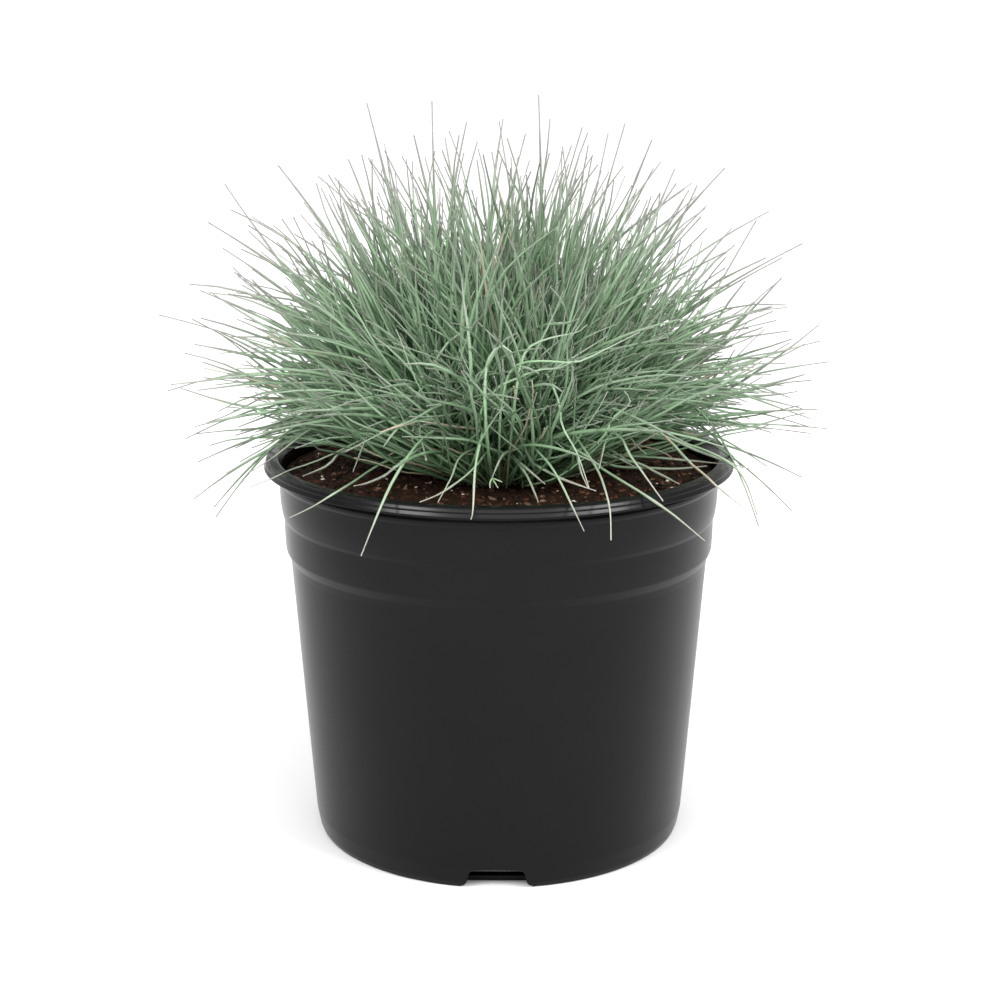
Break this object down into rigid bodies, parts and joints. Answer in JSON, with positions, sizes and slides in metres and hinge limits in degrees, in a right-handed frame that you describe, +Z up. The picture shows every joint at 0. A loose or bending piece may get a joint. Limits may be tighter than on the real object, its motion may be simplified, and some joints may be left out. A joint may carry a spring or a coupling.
{
  "type": "potted blue fescue clump",
  "caption": "A dome of fine arching blue-green grass blades growing from potting mix in a round tapered nursery pot with a flared lip.",
  "frame": {"origin": "On the pot's axis, at the underside of its flat base, where it stands on the floor.", "axes": "+Z up along the pot's axis. -Y is the side that faces the viewer in the picture, with a drainage window in the middle of it. +X is to the right there."},
  "size_m": [0.2475, 0.2526, 0.2854],
  "materials": {
    "charcoal_plastic": "satin moulded polypropylene",
    "bark_and_peat": "damp matt crumbs of bark and peat",
    "fescue_blades": "living leaf with a matt waxy bloom, blue-green, paler and straw-coloured at the tips"
  },
  "bodies": {
    "root": {"pot": "charcoal_plastic", "potting_mix": "bark_and_peat", "fescue_clump": "fescue_blades"}
  },
  "joints": []
}
